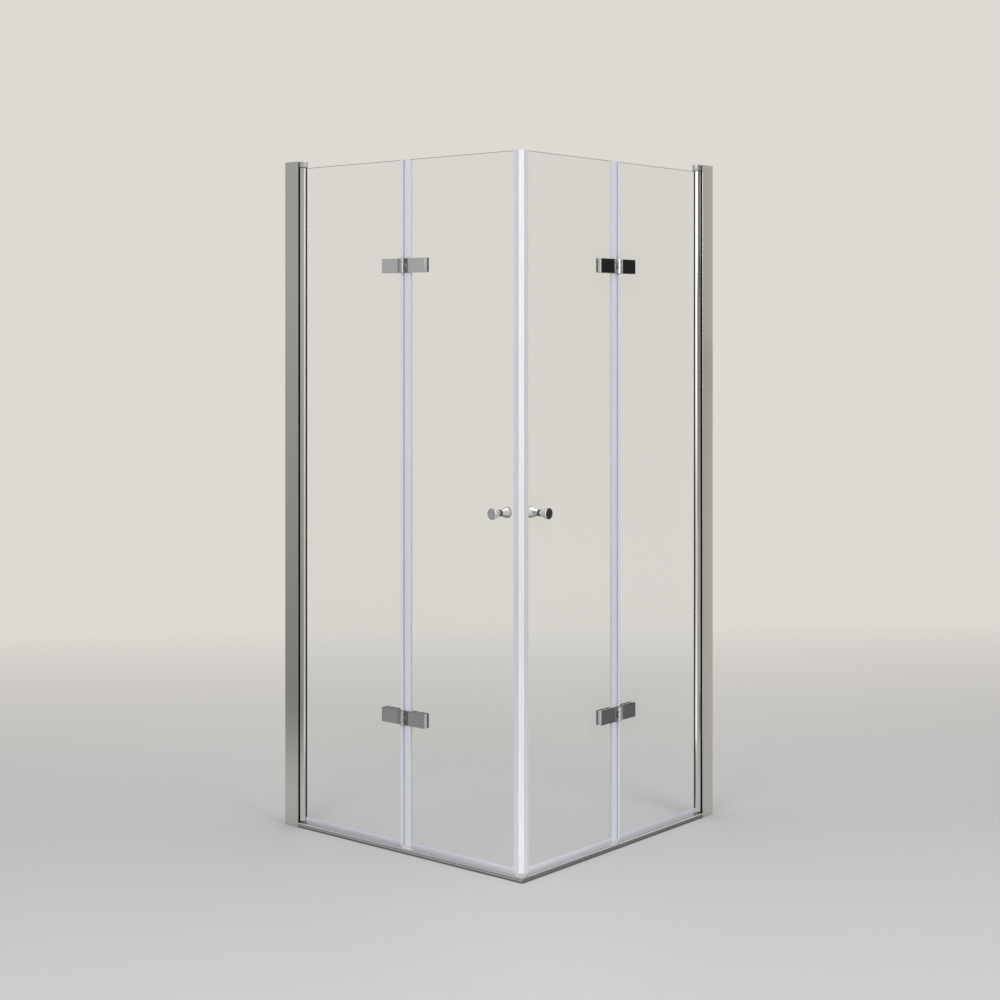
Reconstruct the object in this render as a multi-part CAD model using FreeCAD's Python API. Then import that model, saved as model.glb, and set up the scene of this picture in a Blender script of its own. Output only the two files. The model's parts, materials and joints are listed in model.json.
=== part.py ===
import FreeCAD, Part
import math
import os

V = FreeCAD.Vector

# A side is described by u, the distance from its wall, by v, the depth inward from the outer plane
# of its rail, and by z, the height above the tray. All sizes are in millimetres and degrees.

# Overall size
SIDE = 905.0              # wall to the outer plane of the other side
HEIGHT = 1950.0           # tray to the top of the wall profiles

# Glass
GLASS_T = 6.0
GLASS_END_GAP = 1.1       # lower end of the rotating profile to the lower glass edge
FOLD_FROM_CORNER = 438.0  # fold line to the outer corner
FOLD_GAP_HALF = 4.0       # fold line to either glass edge
DOOR_GLASS_EDGE = 30.0    # outer corner to the free edge of the door glass

# Wall channel, the profile over it and the screws that set them
PROFILE_DEPTH = 36.0
PROFILE_T = 2.0
PROFILE_LIP_GAP = 2.0     # outer lip to the glass when the leaf stands square to the side
PROFILE_INNER_STEP = 4.0  # the inner lip is this much shorter
PROFILE_WEB_AT = 34.0     # cross web, measured from the wall
PROFILE_WALL_GAP = 1.0
CHANNEL_TRAVEL = 4.0      # channel to the cross web
CHANNEL_T = 1.8
CHANNEL_GAP = 0.2         # channel to the profile, each side
WALL_HOLE_R = 2.75
WALL_HOLE_COUNT = 4
WALL_HOLE_END = 150.0     # either end of the channel to the nearest hole
SET_SCREW_R = 1.7
SET_SCREW_COUNT = 3
SET_SCREW_END = 200.0
SET_SCREW_AT = 15.0
SET_SCREW_LENGTH = 6.0
SET_HEAD_R = 3.5
SET_HEAD_H = 2.0

# Pivot of the wall leaf
PIVOT_AT = 60.0           # pivot axis, measured from the wall
TUBE_R = 13.0
TUBE_T = 2.0
PIN_R = 4.0
PIN_DEPTH = 12.0          # length of pin in a block
PIN_IN_BUSH = 22.0
COLLAR_R = 7.0
COLLAR_H = 1.4
COLLAR_GAP = 0.15         # free height above and below the collar
RUN_GAP = 0.05            # radial running clearance of a pin
PIN_SEAT = 0.02           # radial clearance of a pin in the block that holds it
BLOCK_RIM = 0.5           # rim of a block beyond the rotating profile
BLOCK_TAIL_STEP = 6.0     # round end of a block to its narrower tail, each side
TOP_BLOCK_H = 17.0
BOTTOM_BLOCK_PROUD = 3.0  # bottom block above the rail
BLOCK_EDGE = 1.0
BUSH_FLANGE_H = 1.2
BUSH_LENGTH = 24.0
BUSH_WALL = 0.95          # thinnest wall of the bush, beside the glazing pocket
POCKET_GAP = 0.2          # bush to the glazing pocket
POCKET_T = 1.2
GASKET_T = 1.0
GASKET_PROUD = 1.2        # gasket lip beyond the rotating profile
GLASS_EDGE_GAP = 0.1

# Threshold rail
RAIL_H = 13.0
RAIL_T = 1.6
RAIL_EDGE = 1.5           # chamfer along the outer edge
RAIL_GROOVE_D = 0.7
RAIL_GROOVE_H = 1.4
RAIL_GROOVE_DROP = 3.0    # top of the rail to the groove in its face
RAIL_CREST = 14.0         # depth of the level top
RAIL_FALL = 6.0           # depth of the first fall behind it
RAIL_BACK_H = 6.0
RAIL_MITRE_GAP = 0.1
RAIL_END_GAP = 0.3
BLOCK_NOTCH_GAP = 0.1
JOINER_LENGTH = 65.0
JOINER_GAP = 2.7          # joiner to the inner side of the rail's face
JOINER_TOP_GAP = 0.8
JOINER_WIDTH = 8.0

# Clip-on seals
SEAL_T = 1.2
SEAL_DROP = 1.0           # upright seals below the glass
SEAL_END_GAP = 0.2
DRIP_LEG = 11.0           # drip seal above the lower glass edge
DRIP_BASE = 3.4
DRIP_GAP = 1.4            # fins to the rail
DRIP_BLOCK_GAP = 1.5      # wall end of the drip seal to the bottom block
FOLD_SEAL_WALL = 13.0     # fold line to the edge of the narrow fold seal
FOLD_SEAL_DOOR = 26.0     # fold line to the edge of the wide fold seal
FOLD_SEAL_HALF_GAP = 0.6
HINGE_NOTCH_GAP = 0.6
MAGNET_LEG = 12.0         # magnetic seal over the glass
MITRE_GAP = 0.5           # each magnetic seal to the diagonal plane
NOSE_STEP = 3.0           # inner end of the mitred nose beyond the glass
MAGNET_LENGTH = 4.5
MAGNET_T = 2.2
MAGNET_COVER = 1.0
MAGNET_GAP = 0.1
MAGNET_END = 1.0

# Glass-to-glass hinges
HINGE_FROM_BOTTOM = 355.0  # lower glass edge to the middle of the lower hinge
HINGE_FROM_TOP = 295.0     # upper glass edge to the middle of the upper hinge
HINGE_H = 40.0
HINGE_PROUD = 10.0        # outer glass face to the hinge axis
BARREL_R = 6.0
KNUCKLE_MID_H = 15.6
KNUCKLE_GAP = 0.4
HINGE_PIN_R = 3.0
HINGE_PIN_SEAT = 0.02     # radial clearance of the pin in the knuckles it stays in
PLATE_START = 20.0        # fold line to the near end of a plate
PLATE_END = 81.0
PLATE_T = 5.0
BACK_PLATE_T = 8.5
PLATE_CORNER_R = 1.5
HINGE_GASKET_T = 1.0
HINGE_GASKET_INSET = 0.5
ARM_T = 2.9
ARM_GAP = 0.4             # arm to the fold seal behind it
ARM_CLEAR = 1.2           # barrel to the near end of the full-height arm
WEB_START = 1.0           # hinge axis to the outer side of a knuckle's web
HINGE_SCREW_R = 2.5
HINGE_SCREWS_AT = (36.0, 66.0)
SCREW_IN_PLATE = 3.5
HINGE_HEAD_R = 5.0
SCREW_GAP = 0.05
GLASS_HOLE_GAP = 2.5      # screw to the edge of its hole in the glass
SOCKET_R = 1.7
SOCKET_DEPTH = 1.8

# Knobs
KNOB_FROM_CORNER = 93.0
KNOB_HEIGHT = 966.0
KNOB_LENGTH = 31.0
KNOB_FACE_R = 15.5
KNOB_RIM = 3.0
KNOB_EDGE = 1.0
KNOB_SEAT_R = 9.0
KNOB_SEAT_H = 1.5
KNOB_WAIST_R = 8.0
KNOB_WAIST_H = 1.5
KNOB_STUD_R = 3.0
KNOB_STUD_IN = 13.0
KNOB_GLASS_GAP = 3.0      # stud to the edge of its hole in the glass

# Places across the side
PIVOT_V = PROFILE_DEPTH / 2
GLASS_SET = PIVOT_V - GLASS_T / 2
GLASS_IN = PIVOT_V + GLASS_T / 2
SEAL_OUT = GLASS_SET - SEAL_T
SEAL_IN = GLASS_IN + SEAL_T
HINGE_V = GLASS_SET - HINGE_PROUD
NOSE_OUT = PIVOT_V
NOSE_IN = GLASS_IN + NOSE_STEP
REACH = KNOB_LENGTH - GLASS_SET
HALF = (SIDE + REACH) / 2

# Places along the side
PROFILE_WIDTH = PIVOT_AT - GLASS_T / 2 - PROFILE_LIP_GAP
PROFILE_INNER_WIDTH = PROFILE_WIDTH - PROFILE_INNER_STEP
CHANNEL_LENGTH = PROFILE_WEB_AT - CHANNEL_TRAVEL
BLOCK_R = TUBE_R + BLOCK_RIM
POCKET_FLOOR = PIVOT_AT + PIN_R + RUN_GAP + BUSH_WALL + POCKET_GAP
POCKET_BASE = POCKET_FLOOR + POCKET_T
POCKET_HALF = GLASS_T / 2 + GASKET_T
GASKET_LIP = PIVOT_AT + TUBE_R + GASKET_PROUD
WALL_GLASS_START = POCKET_BASE + GASKET_T + GLASS_EDGE_GAP
DRIP_START = PIVOT_AT + BLOCK_R + DRIP_BLOCK_GAP
FOLD_AT = SIDE - FOLD_FROM_CORNER
WALL_GLASS_END = FOLD_AT - FOLD_GAP_HALF
DOOR_GLASS_START = FOLD_AT + FOLD_GAP_HALF
DOOR_GLASS_END = SIDE - DOOR_GLASS_EDGE
MAGNET_SEAL_START = DOOR_GLASS_END - MAGNET_LEG
ARM_END = BARREL_R + ARM_CLEAR
KNOB_AT = SIDE - KNOB_FROM_CORNER
JOINER_INSET = RAIL_T + RAIL_GROOVE_D + JOINER_GAP

# Heights
BOTTOM_BLOCK_H = RAIL_H + BOTTOM_BLOCK_PROUD
COLLAR_SPACE = COLLAR_H + 2 * COLLAR_GAP
BUSH_BOTTOM = BOTTOM_BLOCK_H + COLLAR_SPACE
TUBE_BOTTOM = BUSH_BOTTOM + BUSH_FLANGE_H
BUSH_TOP = HEIGHT - TOP_BLOCK_H - COLLAR_SPACE
TUBE_TOP = BUSH_TOP - BUSH_FLANGE_H
GLASS_BOTTOM = TUBE_BOTTOM + GLASS_END_GAP
GLASS_TOP = TUBE_TOP - GLASS_EDGE_GAP
SEAL_BOTTOM = GLASS_BOTTOM - SEAL_DROP
DRIP_TOP = GLASS_BOTTOM + DRIP_LEG
DRIP_TIP = RAIL_H + DRIP_GAP
HINGE_HEIGHTS = (GLASS_BOTTOM + HINGE_FROM_BOTTOM, GLASS_TOP - HINGE_FROM_TOP)
JOINER_H = RAIL_H - 2 * RAIL_T - JOINER_TOP_GAP


def pt(u, v, z):
    return V(u - HALF, v - HALF + REACH, z)


def prism(points, z0, z1):
    """Upright prism over an outline of (u, v) points."""
    corners = [pt(u, v, z0) for u, v in points]
    return Part.Face(Part.makePolygon(corners + corners[:1])).extrude(V(0, 0, z1 - z0))


def bar(points, u0, u1):
    """Level bar along u over an outline of (v, z) points."""
    corners = [pt(u0, v, z) for v, z in points]
    return Part.Face(Part.makePolygon(corners + corners[:1])).extrude(V(u1 - u0, 0, 0))


def box(u0, u1, v0, v1, z0, z1):
    return Part.makeBox(u1 - u0, v1 - v0, z1 - z0, pt(u0, v0, z0))


def post(u, v, r, z0, z1):
    """Upright round bar."""
    return Part.makeCylinder(r, z1 - z0, pt(u, v, z0), V(0, 0, 1))


def rod(u, z, r, v0, v1):
    """Level round bar through the side, along v."""
    return Part.makeCylinder(r, v1 - v0, pt(u, v0, z), V(0, 1, 0))


def cone(u, z, r0, r1, v0, v1):
    return Part.makeCone(r0, r1, v1 - v0, pt(u, v0, z), V(0, 1, 0))


def hexagon(u, z, r, v0, v1):
    corners = [pt(u + r * math.cos(a), v0, z + r * math.sin(a))
               for a in (math.radians(60 * i) for i in range(6))]
    return Part.Face(Part.makePolygon(corners + corners[:1])).extrude(V(0, v1 - v0, 0))


def spread(end, count):
    """Heights spaced evenly up a side, the same distance from both of its ends."""
    return [end + i * (HEIGHT - 2 * end) / (count - 1) for i in range(count)]


def one(shape):
    """The single solid of a boolean result, with its split faces joined."""
    return shape.removeSplitter().Solids[0]


def rounded(shape, r, along, keep):
    """Fillet the edges that run in one direction and whose middle passes the keep test."""
    edges = [e for e in shape.Edges
             if len(e.Vertexes) == 2 and abs(e.tangentAt(e.FirstParameter).dot(along)) > 0.999
             and keep(e.CenterOfMass)]
    return shape.makeFillet(r, edges)


def wall_channel():
    v0 = PROFILE_T + CHANNEL_GAP
    v1 = PROFILE_DEPTH - v0
    shape = prism([(0, v0), (CHANNEL_LENGTH, v0), (CHANNEL_LENGTH, v0 + CHANNEL_T),
                   (CHANNEL_T, v0 + CHANNEL_T), (CHANNEL_T, v1 - CHANNEL_T),
                   (CHANNEL_LENGTH, v1 - CHANNEL_T), (CHANNEL_LENGTH, v1), (0, v1)], 0, HEIGHT)
    for z in spread(WALL_HOLE_END, WALL_HOLE_COUNT):
        hole = Part.makeCylinder(WALL_HOLE_R, CHANNEL_T + 2, pt(-1, PROFILE_DEPTH / 2, z), V(1, 0, 0))
        shape = shape.cut(hole)
    for z in spread(SET_SCREW_END, SET_SCREW_COUNT):
        shape = shape.cut(rod(SET_SCREW_AT, z, SET_SCREW_R + SCREW_GAP, PROFILE_DEPTH / 2, v1 + 1))
    return one(shape)


def wall_profile():
    web = PROFILE_WEB_AT
    inner = PROFILE_DEPTH - PROFILE_T
    shape = prism([(PROFILE_WALL_GAP, 0), (PROFILE_WIDTH, 0), (PROFILE_WIDTH, PROFILE_T),
                   (web + PROFILE_T, PROFILE_T), (web + PROFILE_T, inner), (PROFILE_INNER_WIDTH, inner),
                   (PROFILE_INNER_WIDTH, PROFILE_DEPTH), (PROFILE_WALL_GAP, PROFILE_DEPTH),
                   (PROFILE_WALL_GAP, inner), (web, inner), (web, PROFILE_T),
                   (PROFILE_WALL_GAP, PROFILE_T)], 0, HEIGHT)
    for z in spread(SET_SCREW_END, SET_SCREW_COUNT):
        shape = shape.cut(rod(SET_SCREW_AT, z, SET_SCREW_R + SCREW_GAP, inner - 1, PROFILE_DEPTH + 1))
    return one(shape)


def set_screws():
    screws = []
    for z in spread(SET_SCREW_END, SET_SCREW_COUNT):
        shank = rod(SET_SCREW_AT, z, SET_SCREW_R, PROFILE_DEPTH - SET_SCREW_LENGTH, PROFILE_DEPTH)
        head = rod(SET_SCREW_AT, z, SET_HEAD_R, PROFILE_DEPTH, PROFILE_DEPTH + SET_HEAD_H)
        top = PROFILE_DEPTH + SET_HEAD_H
        screw = shank.fuse(head).cut(hexagon(SET_SCREW_AT, z, SET_SCREW_R, top - SET_HEAD_H / 2, top + 1))
        screws.append(one(screw))
    return Part.makeCompound(screws)


def block(r, z0, z1):
    """Pivot block: round about the pivot axis, with a narrower tail on the web of the wall profile."""
    half = r - BLOCK_TAIL_STEP
    tail = box(PROFILE_WEB_AT + PROFILE_T, PIVOT_AT, PIVOT_V - half, PIVOT_V + half, z0, z1)
    return one(tail.fuse(post(PIVOT_AT, PIVOT_V, r, z0, z1)))


def top_pivot_block():
    z0 = HEIGHT - TOP_BLOCK_H
    shape = block(BLOCK_R, z0, HEIGHT)
    nose = [e for e in shape.Edges
            if isinstance(e.Curve, Part.Circle) and abs(e.CenterOfMass.z - HEIGHT) < 0.01]
    shape = shape.makeFillet(BLOCK_EDGE, nose)
    return one(shape.cut(post(PIVOT_AT, PIVOT_V, PIN_R + PIN_SEAT, z0 - 1, z0 + PIN_DEPTH + 1)))


def bottom_pivot_block():
    shape = block(BLOCK_R, 0, BOTTOM_BLOCK_H)
    bore = post(PIVOT_AT, PIVOT_V, PIN_R + PIN_SEAT, BOTTOM_BLOCK_H - PIN_DEPTH - 1, BOTTOM_BLOCK_H + 1)
    return one(shape.cut(bore))


def mitre_waste(gap):
    """Everything beyond the diagonal plane of the corner."""
    far = 100.0
    return prism([(SIDE - gap + far, -far), (SIDE + 3 * far, -far), (SIDE + 3 * far, 2 * far),
                  (SIDE - gap - 2 * far, 2 * far)], -far, HEIGHT + far)


def threshold_rail():
    d = PROFILE_DEPTH
    t = RAIL_T
    h = RAIL_H
    g = RAIL_GROOVE_D
    low = h - RAIL_GROOVE_DROP - RAIL_GROOVE_H
    high = h - RAIL_GROOVE_DROP
    fall = RAIL_CREST + RAIL_FALL
    outer = [(0, 0), (0, low), (g, low + g / 2), (g, high - g / 2), (0, high), (0, h - RAIL_EDGE),
             (RAIL_EDGE, h), (RAIL_CREST, h), (fall, h - RAIL_EDGE), (d, RAIL_BACK_H), (d, 0)]
    inner = [(t + g, t), (t + g, h - t), (RAIL_CREST, h - t), (fall, h - t - RAIL_EDGE),
             (d - t, RAIL_BACK_H - t), (d - t, t)]
    u0 = PROFILE_WIDTH + RAIL_END_GAP
    shape = bar(outer, u0, SIDE).cut(bar(inner, u0 - 1, SIDE + 1))
    shape = shape.cut(block(BLOCK_R + BLOCK_NOTCH_GAP, -1, BOTTOM_BLOCK_H))
    return one(shape.cut(mitre_waste(RAIL_MITRE_GAP)))


def rail_corner_joiner():
    arm = box(SIDE - JOINER_LENGTH, SIDE - JOINER_INSET, JOINER_INSET, JOINER_INSET + JOINER_WIDTH,
              RAIL_T, RAIL_T + JOINER_H)
    return one(arm.fuse(across(arm)))


def pivot_pins():
    """Shouldered pins, held in the blocks, on which the bushes of the rotating profile turn."""
    pins = []
    for face, up in ((BOTTOM_BLOCK_H, 1), (HEIGHT - TOP_BLOCK_H, -1)):
        ends = (face - up * PIN_DEPTH, face + up * (COLLAR_SPACE + PIN_IN_BUSH))
        collar = (face + up * COLLAR_GAP, face + up * (COLLAR_GAP + COLLAR_H))
        pin = post(PIVOT_AT, PIVOT_V, PIN_R, min(ends), max(ends))
        pins.append(one(pin.fuse(post(PIVOT_AT, PIVOT_V, COLLAR_R, min(collar), max(collar)))))
    return Part.makeCompound(pins)


def rotating_profile():
    ring = post(PIVOT_AT, PIVOT_V, TUBE_R, TUBE_BOTTOM, TUBE_TOP)
    far = PIVOT_AT + 2 * TUBE_R
    wall = POCKET_HALF + POCKET_T
    pocket = box(POCKET_FLOOR, far, PIVOT_V - wall, PIVOT_V + wall, TUBE_BOTTOM, TUBE_TOP)
    slot = box(POCKET_BASE, far, PIVOT_V - POCKET_HALF, PIVOT_V + POCKET_HALF, TUBE_BOTTOM - 1, TUBE_TOP + 1)
    hollow = post(PIVOT_AT, PIVOT_V, TUBE_R - TUBE_T, TUBE_BOTTOM - 1, TUBE_TOP + 1)
    return one(ring.cut(hollow).fuse(pocket.common(ring)).cut(slot))


def pivot_bushes():
    """Flanged plugs that close the ends of the rotating profile."""
    bushes = []
    for face, up in ((BUSH_BOTTOM, 1), (BUSH_TOP, -1)):
        rim = (face, face + up * BUSH_FLANGE_H)
        end = face + up * BUSH_LENGTH
        plug = post(PIVOT_AT, PIVOT_V, TUBE_R - TUBE_T - SCREW_GAP, min(rim[1], end), max(rim[1], end))
        flat = POCKET_FLOOR - POCKET_GAP
        plug = plug.cut(box(flat, flat + TUBE_R, PIVOT_V - TUBE_R, PIVOT_V + TUBE_R, 0, HEIGHT))
        bush = plug.fuse(post(PIVOT_AT, PIVOT_V, TUBE_R, min(rim), max(rim)))
        bushes.append(one(bush.cut(post(PIVOT_AT, PIVOT_V, PIN_R + RUN_GAP, 0, HEIGHT))))
    return Part.makeCompound(bushes)


def glazing_gasket():
    v0 = PIVOT_V - POCKET_HALF
    v1 = PIVOT_V + POCKET_HALF
    base = POCKET_BASE + GASKET_T
    return prism([(POCKET_BASE, v0), (GASKET_LIP, v0), (GASKET_LIP, GLASS_SET), (base, GLASS_SET),
                  (base, GLASS_IN), (GASKET_LIP, GLASS_IN), (GASKET_LIP, v1), (POCKET_BASE, v1)],
                 GLASS_BOTTOM, GLASS_TOP)


def pane(u0, u1, hinge_side):
    """Glass leaf with its drilled hinge holes on one side of the fold line."""
    shape = box(u0, u1, GLASS_SET, GLASS_IN, GLASS_BOTTOM, GLASS_TOP)
    for z in HINGE_HEIGHTS:
        for w in HINGE_SCREWS_AT:
            u = FOLD_AT + hinge_side * w
            shape = shape.cut(rod(u, z, HINGE_SCREW_R + GLASS_HOLE_GAP, GLASS_SET - 1, GLASS_IN + 1))
    return shape


def wall_glass():
    return one(pane(WALL_GLASS_START, WALL_GLASS_END, -1))


def door_glass():
    shape = pane(DOOR_GLASS_START, DOOR_GLASS_END, 1)
    hole = rod(KNOB_AT, KNOB_HEIGHT, KNOB_STUD_R + KNOB_GLASS_GAP, GLASS_SET - 1, GLASS_IN + 1)
    return one(shape.cut(hole))


def drip_seal(u0, u1):
    """Clip on the lower glass edge with two wiping fins."""
    b = GLASS_BOTTOM
    base = b - DRIP_BASE
    fin = SEAL_T / 2
    return bar([(SEAL_OUT, DRIP_TOP), (SEAL_OUT, base + fin), (GLASS_SET - fin, DRIP_TIP),
                (GLASS_SET, DRIP_TIP), (GLASS_SET + fin, base), (GLASS_IN - fin, base),
                (SEAL_IN + SEAL_T, DRIP_TIP), (SEAL_IN + 2 * SEAL_T, DRIP_TIP + fin),
                (SEAL_IN, base + SEAL_T), (SEAL_IN, DRIP_TOP), (GLASS_IN, DRIP_TOP), (GLASS_IN, b),
                (GLASS_SET, b), (GLASS_SET, DRIP_TOP)], u0, u1)


def wall_drip_seal():
    return drip_seal(DRIP_START, FOLD_AT - FOLD_SEAL_WALL - SEAL_END_GAP)


def door_drip_seal():
    return drip_seal(FOLD_AT + FOLD_SEAL_DOOR + SEAL_END_GAP, MAGNET_SEAL_START - SEAL_END_GAP)


def fold_seal(side, width):
    """Clip on the glass edge beside the fold line, cut out around the hinge plates."""
    face = FOLD_AT + side * FOLD_SEAL_HALF_GAP
    edge = FOLD_AT + side * FOLD_GAP_HALF
    end = FOLD_AT + side * width
    shape = prism([(face, SEAL_OUT), (end, SEAL_OUT), (end, GLASS_SET), (edge, GLASS_SET), (edge, GLASS_IN),
                   (end, GLASS_IN), (end, SEAL_IN), (face, SEAL_IN)], SEAL_BOTTOM, GLASS_TOP)
    near = PLATE_START - HINGE_NOTCH_GAP
    u0, u1 = sorted((FOLD_AT + side * near, FOLD_AT + side * (near + width)))
    half = HINGE_H / 2 + HINGE_NOTCH_GAP
    for z in HINGE_HEIGHTS:
        shape = shape.cut(box(u0, u1, 0, PROFILE_DEPTH, z - half, z + half))
    return one(shape)


def wall_fold_seal():
    return fold_seal(-1, FOLD_SEAL_WALL)


def door_fold_seal():
    return fold_seal(1, FOLD_SEAL_DOOR)


def magnet_outline(grow):
    """Section of the magnet strip, lying along the mitred face of the nose."""
    half_l = (MAGNET_LENGTH / 2 + grow) * math.sqrt(0.5)
    half_t = (MAGNET_T / 2 + grow) * math.sqrt(0.5)
    mid = (NOSE_OUT + NOSE_IN) / 2
    step = (MAGNET_COVER + MAGNET_T / 2) * math.sqrt(0.5)
    s = mid + MITRE_GAP + step
    v = mid - step
    corners = [(-half_l - half_t, -half_l + half_t), (half_l - half_t, half_l + half_t),
               (half_l + half_t, half_l - half_t), (-half_l + half_t, -half_l - half_t)]
    return [(SIDE - s - ds, v + dv) for ds, dv in corners]


def magnetic_seal():
    """Clip on the free edge of the door with a nose mitred on the diagonal of the corner."""
    edge = MAGNET_SEAL_START
    glass = DOOR_GLASS_END
    cut_back = 2 * NOSE_OUT - SEAL_OUT + MITRE_GAP
    shape = prism([(edge, SEAL_OUT), (SIDE - cut_back, SEAL_OUT), (SIDE - NOSE_OUT - MITRE_GAP, NOSE_OUT),
                   (SIDE - NOSE_IN - MITRE_GAP, NOSE_IN), (glass - SEAL_T, NOSE_IN),
                   (glass - SEAL_T, SEAL_IN), (edge, SEAL_IN), (edge, GLASS_IN), (glass, GLASS_IN),
                   (glass, GLASS_SET), (edge, GLASS_SET)], SEAL_BOTTOM, GLASS_TOP)
    return one(shape.cut(prism(magnet_outline(MAGNET_GAP), 0, HEIGHT)))


def magnet_strip():
    return prism(magnet_outline(0), SEAL_BOTTOM + MAGNET_END, GLASS_TOP - MAGNET_END)


def hinge_plates(side, spans):
    """Front plates: clamp plate, stepped arm and the knuckles at the given heights."""
    plates = []
    v1 = GLASS_SET - HINGE_GASKET_T
    arm_v1 = SEAL_OUT - ARM_GAP
    half = HINGE_H / 2

    def across_fold(w0, w1):
        return sorted((FOLD_AT + side * w0, FOLD_AT + side * w1))

    for z in HINGE_HEIGHTS:
        plate = box(*across_fold(PLATE_START, PLATE_END), v1 - PLATE_T, v1, z - half, z + half)
        far = pt(FOLD_AT + side * PLATE_END, 0, 0).x
        plate = rounded(plate, PLATE_CORNER_R, V(0, 1, 0), lambda c: abs(c.x - far) < 0.01)
        arm = box(*across_fold(ARM_END, PLATE_START), arm_v1 - ARM_T, arm_v1, z - half, z + half)
        plate = plate.fuse(arm)
        for low, high in spans:
            web = box(*across_fold(0, ARM_END), HINGE_V + WEB_START, arm_v1, z + low, z + high)
            plate = plate.fuse(web).fuse(post(FOLD_AT, HINGE_V, BARREL_R, z + low, z + high))
        bore = HINGE_PIN_R + (RUN_GAP if side < 0 else HINGE_PIN_SEAT)
        plate = plate.cut(post(FOLD_AT, HINGE_V, bore, z - HINGE_H, z + HINGE_H))
        for w in HINGE_SCREWS_AT:
            tip = v1 - SCREW_IN_PLATE - SCREW_GAP
            plate = plate.cut(rod(FOLD_AT + side * w, z, HINGE_SCREW_R + SCREW_GAP, tip, GLASS_SET))
        plates.append(one(plate))
    return Part.makeCompound(plates)


def wall_hinge_plates():
    return hinge_plates(-1, [(-KNUCKLE_MID_H / 2, KNUCKLE_MID_H / 2)])


def door_hinge_plates():
    near = KNUCKLE_MID_H / 2 + KNUCKLE_GAP
    return hinge_plates(1, [(-HINGE_H / 2, -near), (near, HINGE_H / 2)])


def hinge_pins():
    half = HINGE_H / 2
    pins = [post(FOLD_AT, HINGE_V, HINGE_PIN_R, z - half, z + half) for z in HINGE_HEIGHTS]
    return Part.makeCompound(pins)


def hinge_back_plates(side):
    v0 = GLASS_IN + HINGE_GASKET_T
    v1 = v0 + BACK_PLATE_T
    u0, u1 = sorted((FOLD_AT + side * PLATE_START, FOLD_AT + side * PLATE_END))
    plates = []
    for z in HINGE_HEIGHTS:
        plate = box(u0, u1, v0, v1, z - HINGE_H / 2, z + HINGE_H / 2)
        plate = rounded(plate, PLATE_CORNER_R, V(0, 1, 0), lambda c: True)
        for w in HINGE_SCREWS_AT:
            u = FOLD_AT + side * w
            plate = plate.cut(rod(u, z, HINGE_SCREW_R + SCREW_GAP, v0 - 1, v1 + 1))
            sink = v1 - HINGE_HEAD_R + HINGE_SCREW_R
            plate = plate.cut(cone(u, z, HINGE_SCREW_R + SCREW_GAP, HINGE_HEAD_R + SCREW_GAP, sink, v1))
        plates.append(one(plate))
    return Part.makeCompound(plates)


def hinge_gaskets(side):
    inset = HINGE_GASKET_INSET
    u0, u1 = sorted((FOLD_AT + side * (PLATE_START + inset), FOLD_AT + side * (PLATE_END - inset)))
    half = HINGE_H / 2 - inset
    pads = []
    for z in HINGE_HEIGHTS:
        for v0 in (GLASS_SET - HINGE_GASKET_T, GLASS_IN):
            v1 = v0 + HINGE_GASKET_T
            pad = box(u0, u1, v0, v1, z - half, z + half)
            for w in HINGE_SCREWS_AT:
                pad = pad.cut(rod(FOLD_AT + side * w, z, HINGE_SCREW_R + GLASS_HOLE_GAP, v0 - 1, v1 + 1))
            pads.append(one(pad))
    return Part.makeCompound(pads)


def hinge_screws(side):
    """Countersunk socket screws, driven from inside the shower."""
    v1 = GLASS_IN + HINGE_GASKET_T + BACK_PLATE_T
    sink = v1 - HINGE_HEAD_R + HINGE_SCREW_R
    tip = GLASS_SET - HINGE_GASKET_T - SCREW_IN_PLATE
    screws = []
    for z in HINGE_HEIGHTS:
        for w in HINGE_SCREWS_AT:
            u = FOLD_AT + side * w
            screw = rod(u, z, HINGE_SCREW_R, tip, sink)
            screw = screw.fuse(cone(u, z, HINGE_SCREW_R, HINGE_HEAD_R, sink, v1))
            screws.append(one(screw.cut(hexagon(u, z, SOCKET_R, v1 - SOCKET_DEPTH, v1 + 1))))
    return Part.makeCompound(screws)


def knob(face, out):
    """Conical knob on one glass face, turned about its stud."""
    bore = KNOB_STUD_R + SCREW_GAP
    depth = KNOB_STUD_IN + SCREW_GAP
    edge = KNOB_LENGTH - KNOB_EDGE
    outline = [(bore, 0), (KNOB_SEAT_R, 0), (KNOB_SEAT_R, KNOB_SEAT_H), (KNOB_WAIST_R, KNOB_SEAT_H),
               (KNOB_WAIST_R, KNOB_SEAT_H + KNOB_WAIST_H), (KNOB_FACE_R, edge - KNOB_RIM),
               (KNOB_FACE_R, edge), (KNOB_FACE_R - KNOB_EDGE, KNOB_LENGTH), (0, KNOB_LENGTH),
               (0, depth), (bore, depth)]
    corners = [pt(KNOB_AT + r, face + out * d, KNOB_HEIGHT) for r, d in outline]
    section = Part.Face(Part.makePolygon(corners + corners[:1]))
    return section.revolve(pt(KNOB_AT, face, KNOB_HEIGHT), V(0, 1, 0), 360).Solids[0]


def knobs():
    return Part.makeCompound([knob(GLASS_SET, -1), knob(GLASS_IN, 1)])


def knob_stud():
    return rod(KNOB_AT, KNOB_HEIGHT, KNOB_STUD_R, GLASS_SET - KNOB_STUD_IN, GLASS_IN + KNOB_STUD_IN)


def across(shape):
    """The same piece on the right side: mirrored in the diagonal plane of the corner."""
    return shape.mirror(V(0, 0, 0), V(1, 1, 0))


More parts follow.
